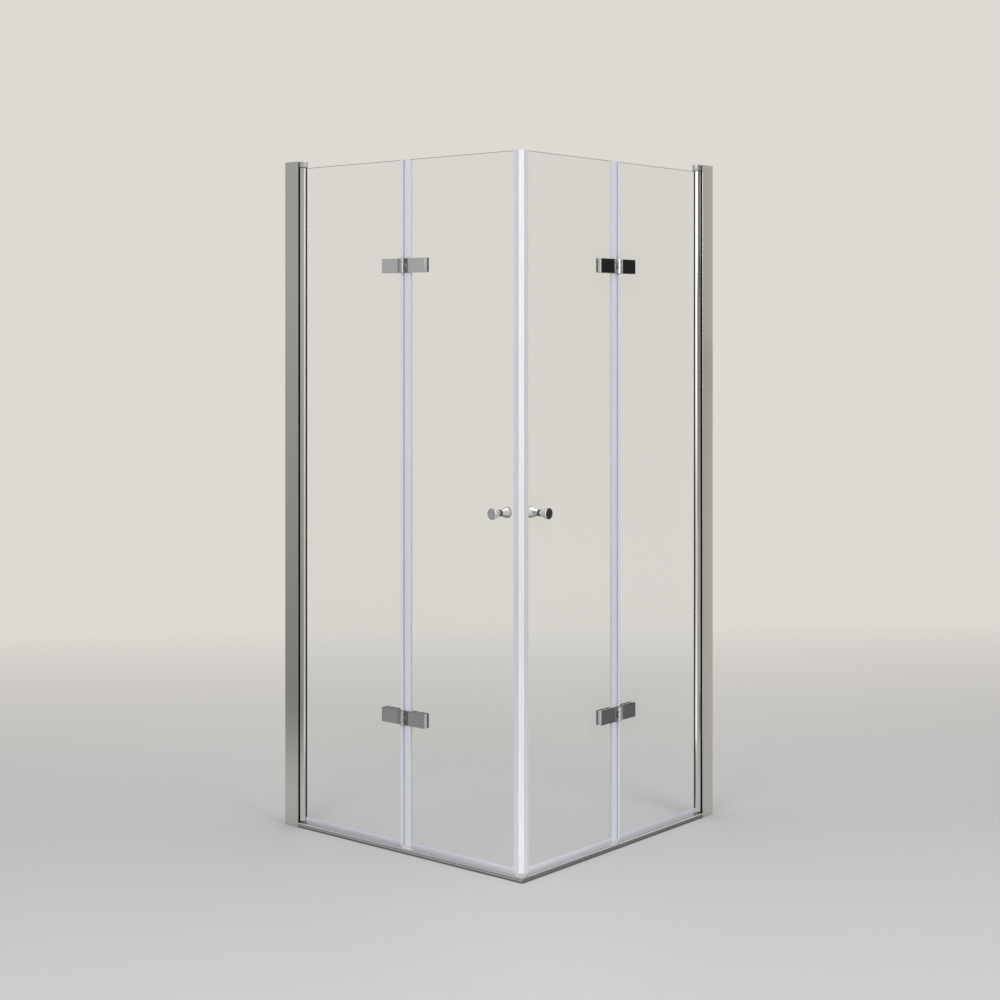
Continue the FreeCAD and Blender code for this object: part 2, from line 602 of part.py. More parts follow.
PIECES = {
    "wall_channel": wall_channel(),
    "wall_profile": wall_profile(),
    "set_screws": set_screws(),
    "top_pivot_block": top_pivot_block(),
    "bottom_pivot_block": bottom_pivot_block(),
    "threshold_rail": threshold_rail(),
    "pivot_pins": pivot_pins(),
    "rotating_profile": rotating_profile(),
    "pivot_bushes": pivot_bushes(),
    "glazing_gasket": glazing_gasket(),
    "wall_glass": wall_glass(),
    "wall_drip_seal": wall_drip_seal(),
    "wall_fold_seal": wall_fold_seal(),
    "wall_hinge_plates": wall_hinge_plates(),
    "wall_hinge_back_plates": hinge_back_plates(-1),
    "wall_hinge_gaskets": hinge_gaskets(-1),
    "wall_hinge_screws": hinge_screws(-1),
    "door_glass": door_glass(),
    "door_drip_seal": door_drip_seal(),
    "door_fold_seal": door_fold_seal(),
    "magnetic_seal": magnetic_seal(),
    "magnet_strip": magnet_strip(),
    "door_hinge_plates": door_hinge_plates(),
    "hinge_pins": hinge_pins(),
    "door_hinge_back_plates": hinge_back_plates(1),
    "door_hinge_gaskets": hinge_gaskets(1),
    "door_hinge_screws": hinge_screws(1),
    "knobs": knobs(),
    "knob_stud": knob_stud(),
}

os.makedirs("parts", exist_ok=True)
for name, shape in PIECES.items():
    shape.exportStep("parts/left_" + name + ".step")
    across(shape).exportStep("parts/right_" + name + ".step")
rail_corner_joiner().exportStep("parts/rail_corner_joiner.step")
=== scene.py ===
import json
import math

import bmesh
import bpy
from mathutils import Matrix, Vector


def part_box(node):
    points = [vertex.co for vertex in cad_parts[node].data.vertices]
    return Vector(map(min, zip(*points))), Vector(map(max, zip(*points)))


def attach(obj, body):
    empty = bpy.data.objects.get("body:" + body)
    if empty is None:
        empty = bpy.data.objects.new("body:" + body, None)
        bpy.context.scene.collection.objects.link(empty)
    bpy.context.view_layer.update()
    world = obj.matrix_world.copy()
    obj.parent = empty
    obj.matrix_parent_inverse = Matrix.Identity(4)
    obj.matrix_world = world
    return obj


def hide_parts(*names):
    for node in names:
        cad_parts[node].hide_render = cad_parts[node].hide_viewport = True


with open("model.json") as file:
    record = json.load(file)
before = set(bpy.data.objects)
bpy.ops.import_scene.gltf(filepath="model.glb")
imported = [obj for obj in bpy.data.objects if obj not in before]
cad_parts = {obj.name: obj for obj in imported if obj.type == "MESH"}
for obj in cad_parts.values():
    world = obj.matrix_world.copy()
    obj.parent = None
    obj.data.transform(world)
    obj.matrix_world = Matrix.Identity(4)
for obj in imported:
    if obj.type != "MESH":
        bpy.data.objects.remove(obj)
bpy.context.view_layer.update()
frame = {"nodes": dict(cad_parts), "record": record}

NODES = frame["nodes"]
SIDES = ("left", "right")
LEAVES = ("wall", "door")

# Axis that runs along each side, and the one through its glass
ALONG = {"left": "x", "right": "y"}
THROUGH = {"left": "y", "right": "x"}

# Camera, fitted to the closed doors of the photograph: pixels of a square image, metres, degrees
IMAGE = 1000
FOCAL = 1802.0
HORIZON = 336.96
EYE = (3.4424, -4.1051, 1.4359)
PITCH = 90.0
HEADING = 40.03
SENSOR = 36.0

# Stage
BACKGROUND = (0.723, 0.694, 0.651)
AMBIENT = 0.45
FLOOR = (0.545, 0.545, 0.545)
FLOOR_ROUGH = 0.7
FLOOR_SIZE = 40.0
FADE_AROUND = (1.6, 6.0)
FADE_BEHIND = (0.0, 3.5)
BEHIND = (-math.sqrt(0.5), math.sqrt(0.5), 0)
FLAG_HEIGHT = 3.6
SPOT_SOFT = 0.06
HALF_BOUNCE = 0.5

# Panes: ground edge, gap to what lies on the glass, holes and the two materials of a pane
ARRIS = 0.0012
GLASS_RELIEF = 0.00005
SCREW_HEAD_R = 0.005
SCREW_HOLE_R = 0.005
KNOB_HOLE_R = 0.006
HOLE_STEPS = 24
POLISHED, GROUND = 0, 1

# Width of the rounding on the edges of each metal piece
ROUNDED = {
    "wall_profile": 0.0004,
    "top_pivot_block": 0.0006,
    "bottom_pivot_block": 0.0006,
    "threshold_rail": 0.0003,
    "wall_hinge_plates": 0.0005,
    "door_hinge_plates": 0.0005,
    "wall_hinge_back_plates": 0.0005,
    "door_hinge_back_plates": 0.0005,
    "knobs": 0.0004,
}
ROUNDED_STEPS = 2
SEALS = ("wall_drip_seal", "door_drip_seal", "wall_fold_seal", "door_fold_seal", "magnetic_seal")
WELD = 0.00001
SHARP = math.radians(30)

# Glass
GLASS_IOR = 1.52
GLASS_TINT = (0.985, 0.99, 0.987)
GLASS_GREEN = (0.70, 0.84, 0.79)
GLASS_DENSITY = 9.0
GROUND_TONES = ((0.10, 0.13, 0.12), (0.18, 0.22, 0.20))
GROUND_ROUGH = (0.3, 0.5)
GROUND_GRAIN = 700

# Clear seals: their tones, and the part of each section that is set off from the rest
PVC_IOR = 1.5
PVC_CLEARNESS = 0.2
PVC_TONES = ((0.68, 0.69, 0.76), (0.75, 0.76, 0.83))
PVC_ROUGH = (0.16, 0.28)
PVC_DRAWN = (60, 60, 3)
FOLD_SHADE = (0.22, 0.22, 0.24)
FOLD_HALF_WIDTH = 0.0014
NOSE_TONES = ((0.74, 0.75, 0.79), (0.82, 0.83, 0.86))
NOSE_WIDTH = 0.0065
CORNER_LEGS = (0.66, 0.66, 0.71)
DRIP_SHADE = (0.46, 0.46, 0.49)

# Metals: how the grain runs, and how far it moves tone and roughness
EVEN = (1, 1, 1)
UPRIGHT = (1, 1, 0.01)
LEVEL = {"left": (0.01, 1, 1), "right": (1, 0.01, 1)}
METAL_DARKER = 0.93
MATT_DARKER = 0.85
ROUGH_SPREAD = (0.85, 1.15)
MATT_BUMP = 0.15
MATT_DEPTH = 0.0002
CHROME = (0.78, 0.78, 0.79)
CHROME_ROUGH = 0.06
CHROME_GRAIN = 120
DIM_EDGE = 0.2
PROFILE = (0.72, 0.70, 0.665)
# Skin of a wall profile outside its channel, which carries painted shade
PROFILE_SKIN = 0.0015
EXTRUDED_GRAIN = 900
# Painted shade: tone of each threshold rail's upright faces, darker on the right side
RAIL_FACE_SHADE_BY_SIDE = {"left": 0.48, "right": 0.27}
RAIL_FOOT = (-0.001, 0.004)
# Painted light and shade: tone of the top pivot block on each side, lighter on the left
TOP_BLOCK_SHADE_BY_SIDE = {"left": 0.76, "right": 0.53}
BLOCK_GRAIN = 300
# Reach of the painted shade on a knob: out from the glass at its waist, and in from its inner end
KNOB_WAIST_SHADE = 0.0035
KNOB_RIM_SHADE = 0.0045
# Painted shade, dark green, on the ends and upper edges of the hinge back plates
BACK_PLATE_END_SHADE = (0.11, 0.15, 0.14)
BACK_PLATE_TOP_SHADE = (0.11, 0.13, 0.12)

# Parts of a hinge, as distances from the fold line counted towards the door leaf
BARRELS = (-0.0155, 0.0065)
# The recesses beside the barrels carry painted shade
WALL_RECESS_SHADE = (-0.0195, -0.0155)
DOOR_RECESS_SHADE = (0.0065, 0.0195)

# Components of the normal on faces that look along an axis, and on those that look down
FACING = (0.7, 1.1)
DOWNWARD = (-1.1, -0.5)

# Colour sockets of Blender's mix node
MIX_COLOURS = (6, 7)
MIX_RESULT = 2


def edges(node, axis):
    """Lower and upper end of a CAD node along an axis."""
    return tuple(getattr(corner, axis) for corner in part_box(node))


def middle(node, axis):
    """Middle of a CAD node along an axis."""
    return sum(edges(node, axis)) / 2


def fold_line(side):
    """Place of the fold line along a side."""
    wall = edges(f"{side}_wall_fold_seal", ALONG[side])
    door = edges(f"{side}_door_fold_seal", ALONG[side])
    return sum(sorted(wall + door)[1:3]) / 2


def grey(tone):
    """A neutral colour."""
    return (tone, tone, tone)


def shade(colour, by):
    """A colour made darker or lighter."""
    return tuple(by * part for part in colour)


def new_material(name):
    """A new material with its node tree and its Principled shader."""
    material = bpy.data.materials.new(name)
    material.use_nodes = True
    tree = material.node_tree
    return material, tree, tree.nodes["Principled BSDF"]


def add(tree, kind, **values):
    """A new node with some of its settings or inputs filled in."""
    node = tree.nodes.new(kind)
    for key, value in values.items():
        if key in node.inputs:
            node.inputs[key].default_value = value
        else:
            setattr(node, key, value)
    return node


def math_node(tree, operation, first, second):
    """A math node over two sockets or numbers: its output."""
    node = add(tree, "ShaderNodeMath", operation=operation)
    for slot, value in enumerate((first, second)):
        if isinstance(value, (int, float)):
            node.inputs[slot].default_value = value
        else:
            tree.links.new(value, node.inputs[slot])
    return node.outputs[0]


def coordinate(tree, kind, axis):
    """One component of a texture coordinate of the piece."""
    place = add(tree, "ShaderNodeTexCoord")
    split = add(tree, "ShaderNodeSeparateXYZ")
    tree.links.new(place.outputs[kind], split.inputs[0])
    return split.outputs[axis.upper()]


def between(tree, value, low, high):
    """1 where a value lies between two others, and 0 elsewhere."""
    above = math_node(tree, "GREATER_THAN", value, low)
    below = math_node(tree, "LESS_THAN", value, high)
    return math_node(tree, "MULTIPLY", above, below)


def ramp(tree, value, start, end, low=0.0, high=1.0, shape="LINEAR"):
    """A value mapped from one range to another and held at its ends."""
    ranged = add(tree, "ShaderNodeMapRange", interpolation_type=shape)
    numbers = {"From Min": start, "From Max": end, "To Min": low, "To Max": high}
    for key, number in numbers.items():
        ranged.inputs[key].default_value = number
    tree.links.new(value, ranged.inputs["Value"])
    return ranged.outputs["Result"]


def plateau(tree, value, rise, drop):
    """1 between a soft rise and a soft drop along a value, and 0 outside them."""
    up = ramp(tree, value, *rise, shape="SMOOTHSTEP")
    down = ramp(tree, value, *drop, 1.0, 0.0, shape="SMOOTHSTEP")
    return math_node(tree, "MULTIPLY", up, down)


def grain(tree, stretch, scale, detail=4.0):
    """Noise in object space, stretched along an axis: its factor."""
    place = add(tree, "ShaderNodeTexCoord")
    mapping = add(tree, "ShaderNodeMapping", Scale=stretch)
    noise = add(tree, "ShaderNodeTexNoise", Scale=scale, Detail=detail)
    tree.links.new(place.outputs["Object"], mapping.inputs["Vector"])
    tree.links.new(mapping.outputs["Vector"], noise.inputs["Vector"])
    return noise.outputs["Fac"]


def blend(tree, factor, first, second):
    """A mix of two colours, each a socket or a tuple, by a factor."""
    mix = add(tree, "ShaderNodeMix", data_type="RGBA")
    tree.links.new(factor, mix.inputs["Factor"])
    for slot, colour in zip(MIX_COLOURS, (first, second)):
        if isinstance(colour, tuple):
            mix.inputs[slot].default_value = (*colour, 1)
        else:
            tree.links.new(colour, mix.inputs[slot])
    return mix.outputs[MIX_RESULT]


def mix_shaders(tree, factor, first, second):
    """A mix of two shaders by a factor: its output."""
    mix = add(tree, "ShaderNodeMixShader")
    for slot, output in enumerate((factor, first.outputs[0], second.outputs[0])):
        tree.links.new(output, mix.inputs[slot])
    return mix.outputs[0]


def span(axis, low, high, kind="Object"):
    """A mask: 1 between two places along an axis, or between two components of the normal."""
    return lambda tree: between(tree, coordinate(tree, kind, axis), low, high)


def clear_glass():
    """Float glass: clear face on, green along its length."""
    material, tree, shader = new_material("clear_glass")
    shader.inputs["Base Color"].default_value = (*GLASS_TINT, 1)
    shader.inputs["Roughness"].default_value = 0.0
    shader.inputs["IOR"].default_value = GLASS_IOR
    shader.inputs["Transmission Weight"].default_value = 1.0
    absorb = add(tree, "ShaderNodeVolumeAbsorption", Density=GLASS_DENSITY, Color=(*GLASS_GREEN, 1))
    tree.links.new(absorb.outputs["Volume"], tree.nodes["Material Output"].inputs["Volume"])
    return material


def ground_glass():
    """The narrow ground edge between the face and the polished end of a pane."""
    material, tree, shader = new_material("ground_glass")
    factor = grain(tree, EVEN, GROUND_GRAIN)
    tree.links.new(blend(tree, factor, *GROUND_TONES), shader.inputs["Base Color"])
    tree.links.new(ramp(tree, factor, 0, 1, *GROUND_ROUGH), shader.inputs["Roughness"])
    shader.inputs["IOR"].default_value = GLASS_IOR
    return material


def plastic(name, colour, rough, scale):
    """Moulded plastic or rubber with a fine matt grain."""
    material, tree, shader = new_material(name)
    factor = grain(tree, EVEN, scale)
    tone = blend(tree, factor, shade(colour, MATT_DARKER), colour)
    gloss = ramp(tree, factor, 0, 1, *shade(ROUGH_SPREAD, rough))
    relief = add(tree, "ShaderNodeBump", Strength=MATT_BUMP, Distance=MATT_DEPTH)
    tree.links.new(tone, shader.inputs["Base Color"])
    tree.links.new(gloss, shader.inputs["Roughness"])
    tree.links.new(factor, relief.inputs["Height"])
    tree.links.new(relief.outputs["Normal"], shader.inputs["Normal"])
    return material


def clear_pvc(name, mask, masked, tones=PVC_TONES):
    """Clear strip, a little milky, drawn out along its length; the mask sets off part of it."""
    material, tree, shader = new_material(name)
    factor = grain(tree, PVC_DRAWN, 1.0)
    tone = blend(tree, mask(tree), blend(tree, factor, *tones), masked)
    tree.links.new(tone, shader.inputs["Base Color"])
    tree.links.new(ramp(tree, factor, 0, 1, *PVC_ROUGH), shader.inputs["Roughness"])
    shader.inputs["IOR"].default_value = PVC_IOR
    shader.inputs["Transmission Weight"].default_value = PVC_CLEARNESS
    return material


def fold_pvc(side):
    """Shaded along the fold line."""
    line = fold_line(side)
    shaded = span(ALONG[side], line - FOLD_HALF_WIDTH, line + FOLD_HALF_WIDTH)
    return clear_pvc(f"{side}_fold_pvc", shaded, FOLD_SHADE)


def corner_pvc(side):
    """White where the nose covers the magnet, clear over the glass."""
    low, high = edges(f"{side}_magnetic_seal", ALONG[side])
    start, end = (low, high - NOSE_WIDTH) if side == "left" else (low + NOSE_WIDTH, high)
    legs = span(ALONG[side], start, end)
    return clear_pvc(f"{side}_corner_pvc", legs, CORNER_LEGS, NOSE_TONES)


def drip_pvc():
    """Shaded more and more towards the foot."""
    low, high = edges("left_wall_drip_seal", "z")

    def depth(tree):
        """A mask: 1 at the foot and 0 at the upper edge."""
        return ramp(tree, coordinate(tree, "Object", "z"), low, high, 1.0, 0.0)

    return clear_pvc("drip_pvc", depth, DRIP_SHADE)


def mark(mask, colour, least_rough=0):
    """A part of a metal surface with its own colour and least roughness; most marks here hold painted
    shade or a painted highlight.
    """
    return mask, colour, least_rough


def metal(name, colour, rough, stretch, scale, marks=(), edge=1.0):
    """Bare or plated metal with a fine grain and its marks; edge is its tint at a glancing angle."""
    material, tree, shader = new_material(name)
    shader.inputs["Metallic"].default_value = 1.0
    shader.inputs["Specular Tint"].default_value = (*grey(edge), 1)
    factor = grain(tree, stretch, scale)
    tone = blend(tree, factor, shade(colour, METAL_DARKER), colour)
    gloss = ramp(tree, factor, 0, 1, *shade(ROUGH_SPREAD, rough))
    for mask, marked, least_rough in marks:
        there = mask(tree)
        tone = blend(tree, there, tone, marked)
        gloss = math_node(tree, "MAXIMUM", gloss, math_node(tree, "MULTIPLY", there, least_rough))
    tree.links.new(tone, shader.inputs["Base Color"])
    tree.links.new(gloss, shader.inputs["Roughness"])
    return material


def chrome(name, marks, edge=1.0):
    """Mirror-polished plating."""
    return metal(name, CHROME, CHROME_ROUGH, EVEN, CHROME_GRAIN, marks, edge)


def profile_metal(side):
    """Polished outside, with painted shade, near black and rougher, in the channel between its two
    flanges.
    """
    low, high = edges(f"{side}_wall_profile", THROUGH[side])
    channel = span(THROUGH[side], low + PROFILE_SKIN, high - PROFILE_SKIN)
    # Painted shade in the channel: near black, and rougher
    return metal(f"{side}_profile_metal", PROFILE, rough=0.21, stretch=UPRIGHT, scale=EXTRUDED_GRAIN,
                 marks=[mark(channel, grey(0.06), least_rough=0.5)])


def rail_metal(side):
    """A painted highlight on its top, painted shade on its upright faces, heavier on the right side,
    and dark along its foot.
    """
    marks = [
        # Painted highlight on the faces that look up
        mark(span("z", *FACING, "Normal"), grey(0.93)),
        mark(span("z", *RAIL_FOOT), grey(0.18)),
    ]
    return metal(f"{side}_rail_metal", grey(RAIL_FACE_SHADE_BY_SIDE[side]), rough=0.14, stretch=LEVEL[side],
                 scale=EXTRUDED_GRAIN, marks=marks)


def top_block_metal(side):
    """Satin plating, with painted light and shade: lighter on the left side than on the right."""
    return metal(f"{side}_satin_chrome", grey(TOP_BLOCK_SHADE_BY_SIDE[side]), rough=0.65, stretch=EVEN,
                 scale=BLOCK_GRAIN)


def bottom_block_metal():
    """Plating, darker and rougher than the chrome."""
    return metal("dull_chrome", (0.30, 0.30, 0.31), rough=0.3, stretch=EVEN, scale=BLOCK_GRAIN)


def hinge_metal(side):
    """Chrome, satin on the barrels, with painted shade, a little rougher, in the recesses beside them
    and on its upper edges.
    """
    line = fold_line(side)
    door_way = 1 if side == "left" else -1

    def beside(start, end):
        """A mask: 1 between two distances from the fold line, counted towards the door leaf."""
        def mask(tree):
            place = math_node(tree, "SUBTRACT", coordinate(tree, "Object", ALONG[side]), line)
            return between(tree, math_node(tree, "MULTIPLY", place, door_way), start, end)
        return mask

    marks = [
        mark(beside(*BARRELS), grey(0.65), least_rough=0.35),
        # Painted shade in the recesses beside the barrels
        mark(beside(*WALL_RECESS_SHADE), grey(0.30), least_rough=0.2),
        mark(beside(*DOOR_RECESS_SHADE), grey(0.36), least_rough=0.2),
        # Painted shade on the faces that look up
        mark(span("z", *FACING, "Normal"), grey(0.2), least_rough=0.2),
    ]
    return chrome(f"{side}_hinge_metal", marks, edge=DIM_EDGE)


def back_plate_metal(side):
    """Chrome with painted shade, dark green, on its ends and upper edges."""
    def ends(tree):
        """A mask: 1 on the faces that look along the side."""
        facing = math_node(tree, "ABSOLUTE", coordinate(tree, "Normal", ALONG[side]), 0)
        return between(tree, facing, *FACING)

    marks = [
        # Painted shade on the ends and on the faces that look up
        mark(ends, BACK_PLATE_END_SHADE, least_rough=0.1),
        mark(span("z", *FACING, "Normal"), BACK_PLATE_TOP_SHADE, least_rough=0.2),
    ]
    return chrome(f"{side}_back_plate_metal", marks, edge=DIM_EDGE)


def knob_metal(side):
    """Chrome with painted shade on its seat and waist at the glass, a little rougher there, and on its
    underside and inner rim.
    """
    low, high = edges(f"{side}_door_glass", THROUGH[side])
    start, end = edges(f"{side}_knobs", THROUGH[side])
    inner = (end - KNOB_RIM_SHADE, end) if side == "left" else (start, start + KNOB_RIM_SHADE)
    waist = (low - KNOB_WAIST_SHADE, high + KNOB_WAIST_SHADE)
    marks = [
        # Painted shade on the underside, the inner rim and the waist
        mark(span("z", *DOWNWARD, "Normal"), grey(0.40)),
        mark(span(THROUGH[side], *inner), grey(0.12)),
        mark(span(THROUGH[side], *waist), grey(0.18), least_rough=0.15),
    ]
    return chrome(f"{side}_knob_metal", marks)


def slot_materials():
    """The material of each slot, for nodes that have none of their own."""
    return {
        "glass": clear_glass(),
        "profile_aluminium": metal("profile_aluminium", (0.80, 0.79, 0.77), rough=0.12,
                                   stretch=UPRIGHT, scale=EXTRUDED_GRAIN),
        "mill_aluminium": metal("mill_aluminium", grey(0.5), rough=0.4, stretch=UPRIGHT, scale=600),
        "steel": metal("steel", grey(0.6), rough=0.3, stretch=EVEN, scale=400),
        "clear_seal": drip_pvc(),
        "clear_pad": plastic("clear_pad", (0.85, 0.87, 0.87), rough=0.4, scale=300),
        "dark_rubber": plastic("dark_rubber", grey(0.03), rough=0.6, scale=500),
        "bush_plastic": plastic("bush_plastic", grey(0.1), rough=0.45, scale=400),
        "magnet": plastic("magnet", (0.9, 0.9, 0.92), rough=0.4, scale=300),
    }


def node_materials():
    """The material of each node that has one of its own."""
    materials = {}
    bottom_block = bottom_block_metal()
    for side in SIDES:
        fold, hinge, back_plate = fold_pvc(side), hinge_metal(side), back_plate_metal(side)
        own = {
            "wall_profile": profile_metal(side),
            "top_pivot_block": top_block_metal(side),
            "bottom_pivot_block": bottom_block,
            "threshold_rail": rail_metal(side),
            "wall_hinge_plates": hinge,
            "door_hinge_plates": hinge,
            "wall_hinge_back_plates": back_plate,
            "door_hinge_back_plates": back_plate,
            "knobs": knob_metal(side),
            "wall_fold_seal": fold,
            "door_fold_seal": fold,
            "magnetic_seal": corner_pvc(side),
        }
        materials.update({f"{side}_{name}": material for name, material in own.items()})
    return materials


def round_edges(piece, width):
    """Rounds the sharp edges of a metal piece."""
    weld = piece.modifiers.new("weld", "WELD")
    weld.merge_threshold = WELD
    bevel = piece.modifiers.new("bevel", "BEVEL")
    bevel.width = width
    bevel.segments = ROUNDED_STEPS
    bevel.limit_method = "ANGLE"
    bevel.angle_limit = SHARP
    bevel.harden_normals = True


def dress_nodes(by_slot, by_node):
    """Gives every CAD node its material, rounds the metal and lets light past the seals."""
    for part in frame["record"]["subparts"]:
        node = part["node"]
        slots = NODES[node].data.materials
        slots.clear()
        slots.append(by_node[node] if node in by_node else by_slot[part["material_slot"]])
    for side in SIDES:
        for name, width in ROUNDED.items():
            round_edges(NODES[f"{side}_{name}"], width)
        for name in SEALS:
            NODES[f"{side}_{name}"].visible_shadow = False


def pane_holes(side, leaf):
    """Holes of a pane: their places along the side and in height, and their radii."""
    screws = f"{side}_{leaf}_hinge_screws"
    a0, a1 = edges(screws, ALONG[side])
    z0, z1 = edges(screws, "z")
    r = SCREW_HEAD_R
    holes = [(a, z, SCREW_HOLE_R) for a in (a0 + r, a1 - r) for z in (z0 + r, z1 - r)]
    if leaf == "door":
        stud = f"{side}_knob_stud"
        holes.append((middle(stud, ALONG[side]), middle(stud, "z"), KNOB_HOLE_R))
    return holes


def pane_loops(side, leaf, ground):
    """Outline of a pane and then its holes, with this much ground off every edge."""
    a0, a1 = edges(f"{side}_{leaf}_glass", ALONG[side])
    z0, z1 = edges(f"{side}_{leaf}_glass", "z")
    a0, a1 = a0 + ground, a1 - ground
    z0, z1 = z0 + ground, z1 - ground
    loops = [[(a0, z0), (a1, z0), (a1, z1), (a0, z1)]]
    turns = [math.tau * step / HOLE_STEPS for step in range(HOLE_STEPS)]
    for a, z, r in pane_holes(side, leaf):
        wide = r + ground
        loops.append([(a + wide * math.cos(turn), z + wide * math.sin(turn)) for turn in turns])
    return loops


def pane_mesh(side, leaf):
    """A glass leaf with its drilled holes, every edge ground at 45 degrees."""
    t0, t1 = edges(f"{side}_{leaf}_glass", THROUGH[side])
    t0, t1 = t0 + GLASS_RELIEF, t1 - GLASS_RELIEF
    mesh = bmesh.new()
    layers = []
    for depth, ground in ((t0, ARRIS), (t0 + ARRIS, 0), (t1 - ARRIS, 0), (t1, ARRIS)):
        rings = []
        for loop in pane_loops(side, leaf, ground):
            corners = [(a, depth, z) if side == "left" else (depth, a, z) for a, z in loop]
            rings.append([mesh.verts.new(corner) for corner in corners])
        layers.append(rings)
    for rings in (layers[0], layers[-1]):
        outline = [mesh.edges.new((ring[i - 1], ring[i])) for ring in rings for i in range(len(ring))]
        bmesh.ops.triangle_fill(mesh, use_beauty=True, edges=outline)
    for finish, near, far in zip((GROUND, POLISHED, GROUND), layers, layers[1:]):
        for ring, other in zip(near, far):
            for i in range(len(ring)):
                face = mesh.faces.new((ring[i - 1], ring[i], other[i], other[i - 1]))
                face.material_index = finish
    bmesh.ops.recalc_face_normals(mesh, faces=mesh.faces)
    data = bpy.data.meshes.new(f"{side}_{leaf}_pane")
    mesh.to_mesh(data)
    mesh.free()
    return data


def make_pane(side, leaf, polished, ground):
    """Puts a pane in the place of its CAD glass."""
    node = f"{side}_{leaf}_glass"
    data = pane_mesh(side, leaf)
    data.materials.append(polished)
    data.materials.append(ground)
    pane = bpy.data.objects.new(data.name, data)
    bpy.context.scene.collection.objects.link(pane)
    pane.visible_shadow = False
    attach(pane, f"{side}_{leaf}_leaf")
    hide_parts(node)


def seen_rays(tree):
    """1 for rays that show the stage straight, in mirrors or through glass, 0 for light it gives."""
    path = add(tree, "ShaderNodeLightPath")
    straight = math_node(tree, "MAXIMUM", path.outputs["Is Camera Ray"], path.outputs["Is Glossy Ray"])
    seen = math_node(tree, "MAXIMUM", straight, path.outputs["Is Transmission Ray"])
    unscattered = math_node(tree, "LESS_THAN", path.outputs["Diffuse Depth"], HALF_BOUNCE)
    return math_node(tree, "MULTIPLY", seen, unscattered)


def make_world():
    """White light all around, behind a background of one colour."""
    world = bpy.data.worlds.new("studio")
    world.use_nodes = True
    bpy.context.scene.world = world
    tree = world.node_tree
    tree.nodes.clear()
    lit = add(tree, "ShaderNodeBackground", Color=(1, 1, 1, 1), Strength=AMBIENT)
    shown = add(tree, "ShaderNodeBackground", Color=(*BACKGROUND, 1), Strength=1.0)
    out = add(tree, "ShaderNodeOutputWorld")
    tree.links.new(mix_shaders(tree, seen_rays(tree), lit, shown), out.inputs["Surface"])


def floor_material():
    """Pale floor around the object that runs out into the background colour, sooner behind it."""
    material, tree, shader = new_material("floor")
    shader.inputs["Base Color"].default_value = (*FLOOR, 1)
    shader.inputs["Roughness"].default_value = FLOOR_ROUGH
    shader.inputs["Specular IOR Level"].default_value = 0.0
    place = add(tree, "ShaderNodeNewGeometry")
    length = add(tree, "ShaderNodeVectorMath", operation="LENGTH")
    behind = add(tree, "ShaderNodeVectorMath", operation="DOT_PRODUCT")
    behind.inputs[1].default_value = BEHIND
    for node in (length, behind):
        tree.links.new(place.outputs["Position"], node.inputs[0])
    around = ramp(tree, length.outputs["Value"], *FADE_AROUND, shape="SMOOTHSTEP")
    fade = math_node(tree, "MAXIMUM", around, ramp(tree, behind.outputs["Value"], *FADE_BEHIND))
    shown = math_node(tree, "MULTIPLY", fade, seen_rays(tree))
    glow = add(tree, "ShaderNodeEmission", Color=(*BACKGROUND, 1), Strength=1.0)
    out = tree.nodes["Material Output"]
    tree.links.new(mix_shaders(tree, shown, shader, glow), out.inputs["Surface"])
    return material


def sheet(name, corners, material):
    """A flat stage piece with four corners."""
    mesh = bpy.data.meshes.new(name)
    mesh.from_pydata(corners, [], [(0, 1, 2, 3)])
    mesh.materials.append(material)
    piece = bpy.data.objects.new(name, mesh)
    bpy.context.scene.collection.objects.link(piece)
    return piece


def make_floor():
    """A plain floor under the object."""
    half = FLOOR_SIZE / 2
    corners = [(-half, -half, 0), (half, -half, 0), (half, half, 0), (-half, half, 0)]
    sheet("floor", corners, floor_material())


def flag_material(name, axis, fades, tones, spots):
    """A grey card with its tones at given heights and some soft spots, faded out at both ends."""
    material, tree, shader = new_material(name)
    tree.nodes.remove(shader)
    along, height = coordinate(tree, "Object", axis), coordinate(tree, "Object", "z")
    start, tone = tones[0]
    card = grey(tone)
    for end, tone in tones[1:]:
        card = blend(tree, ramp(tree, height, start, end), card, grey(tone))
        start = end
    for place, size, tone in spots:
        sides = []
        for value, centre, half in zip((along, height), place, size):
            low, high = centre - half, centre + half
            sides.append(plateau(tree, value, (low - SPOT_SOFT, low), (high, high + SPOT_SOFT)))
        card = blend(tree, math_node(tree, "MULTIPLY", *sides), card, grey(tone))
    glow = add(tree, "ShaderNodeEmission", Strength=1.0)
    tree.links.new(blend(tree, plateau(tree, along, *fades), BACKGROUND, card), glow.inputs["Color"])
    tree.links.new(glow.outputs[0], tree.nodes["Material Output"].inputs["Surface"])
    return material


def flag(name, axis, place, fades, tones, spots=()):
    """An upright studio card along an axis that only mirrors see.

    The fades are the rise and the drop along the axis, a tone is a height with its grey, and a
    spot is a centre, a half size and a grey. The card starts at the height of its first tone.
    """
    start, end = fades[0][0], fades[1][1]
    foot = tones[0][0]
    ends = [(start, place), (end, place)] if axis == "x" else [(place, start), (place, end)]
    corners = [(*ends[0], foot), (*ends[1], foot), (*ends[1], FLAG_HEIGHT), (*ends[0], FLAG_HEIGHT)]
    card = sheet(name, corners, flag_material(name, axis, fades, tones, spots))
    card.visible_camera = False
    card.visible_diffuse = False
    card.visible_transmission = False
    card.visible_shadow = False


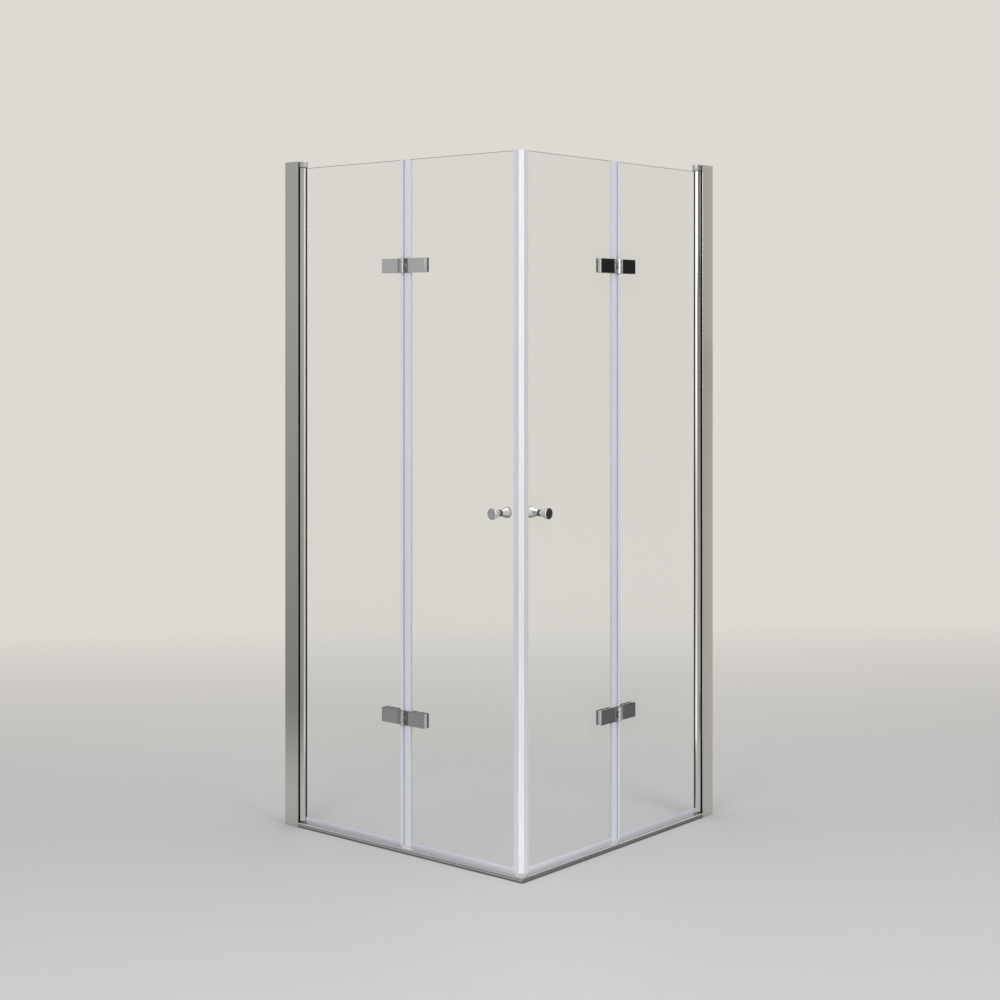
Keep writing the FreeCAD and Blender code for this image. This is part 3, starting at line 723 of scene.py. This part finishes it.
def make_flags():
    """Cards for the panes and plates of each side, and bright strips for the tubes and barrels."""
    flag("left_flag", axis="x", place=-0.9,
         fades=((-1.8, -1.1), (0.0, 0.5)),
         tones=((0, 0.5), (0.22, 0.28), (1.65, 0.47)))
    lower_hinge = ((0.627, 0.208), (0.105, 0.035), 0.134)
    upper_hinge = ((0.627, 1.648), (0.105, 0.035), 0.022)
    knob = ((0.202, 0.897), (0.03, 0.03), 0.044)
    upper_profile = ((1.16, 1.90), (0.075, 0.45), 0.50)
    lower_profile = ((1.16, 0.50), (0.075, 0.70), 0.33)
    flag("right_flag", axis="y", place=0.9,
         fades=((0.0, 0.15), (0.9, 1.35)),
         tones=((0, 0.5), (0.3, 0.42), (0.75, 0.40), (1.25, 0.24)),
         spots=(lower_hinge, upper_hinge, knob, upper_profile, lower_profile))
    flag("strip", axis="x", place=-0.6,
         fades=((0.43, 0.47), (0.78, 0.95)),
         tones=((0, 2.2), (0.3, 1.4), (0.62, 0.8), (0.9, 1.2), (1.2, 2.2), (1.65, 2.6)))
    flag("upper_strip", axis="x", place=-0.59,
         fades=((0.78, 0.781), (1.45, 1.6)),
         tones=((1.6, 0.69), (1.72, 2.6)))


def soft_box(name, place, aim, size, power, glossy=False, spread=180):
    """A square lamp, with a grid over it where its spread is narrow."""
    data = bpy.data.lights.new(name, "AREA")
    data.shape = "RECTANGLE"
    data.size, data.size_y = size, size
    data.energy = power
    data.spread = math.radians(spread)
    lamp = bpy.data.objects.new(name, data)
    lamp.location = place
    lamp.rotation_euler = (Vector(aim) - Vector(place)).to_track_quat("-Z", "Y").to_euler()
    lamp.visible_camera = False
    lamp.visible_transmission = False
    lamp.visible_glossy = glossy
    bpy.context.scene.collection.objects.link(lamp)


def make_lights():
    """Two large lamps from the front, one overhead that mirrors show, and a small one at the corner."""
    soft_box("front", place=(1.5, -5.0, 2.4), aim=(0, 0, 1.0), size=2.5, power=110)
    soft_box("fill", place=(5.0, -0.8, 3.2), aim=(0, 0, 0.9), size=2.5, power=100)
    soft_box("top", place=(0.0, 0.0, 5.5), aim=(0, 0, 0), size=3.0, power=95, glossy=True)
    soft_box("foot", place=(3.27, -3.27, 0.6), aim=(0.44, -0.44, 0), size=0.5, power=0.32, spread=14)


def make_camera():
    """A level camera at the photograph's place, shifted down to its framing."""
    data = bpy.data.cameras.new("camera")
    data.sensor_width = SENSOR
    data.lens = FOCAL / IMAGE * SENSOR
    data.shift_y = (HORIZON - IMAGE / 2) / IMAGE
    camera = bpy.data.objects.new("camera", data)
    camera.location = EYE
    camera.rotation_euler = (math.radians(PITCH), 0, math.radians(HEADING))
    bpy.context.scene.collection.objects.link(camera)
    bpy.context.scene.camera = camera


by_slot = slot_materials()
dress_nodes(by_slot, node_materials())
ground_edge = ground_glass()
for side in SIDES:
    for leaf in LEAVES:
        make_pane(side, leaf, by_slot["glass"], ground_edge)
make_world()
make_floor()
make_flags()
make_lights()
make_camera()
bpy.context.scene.view_settings.view_transform = "Standard"
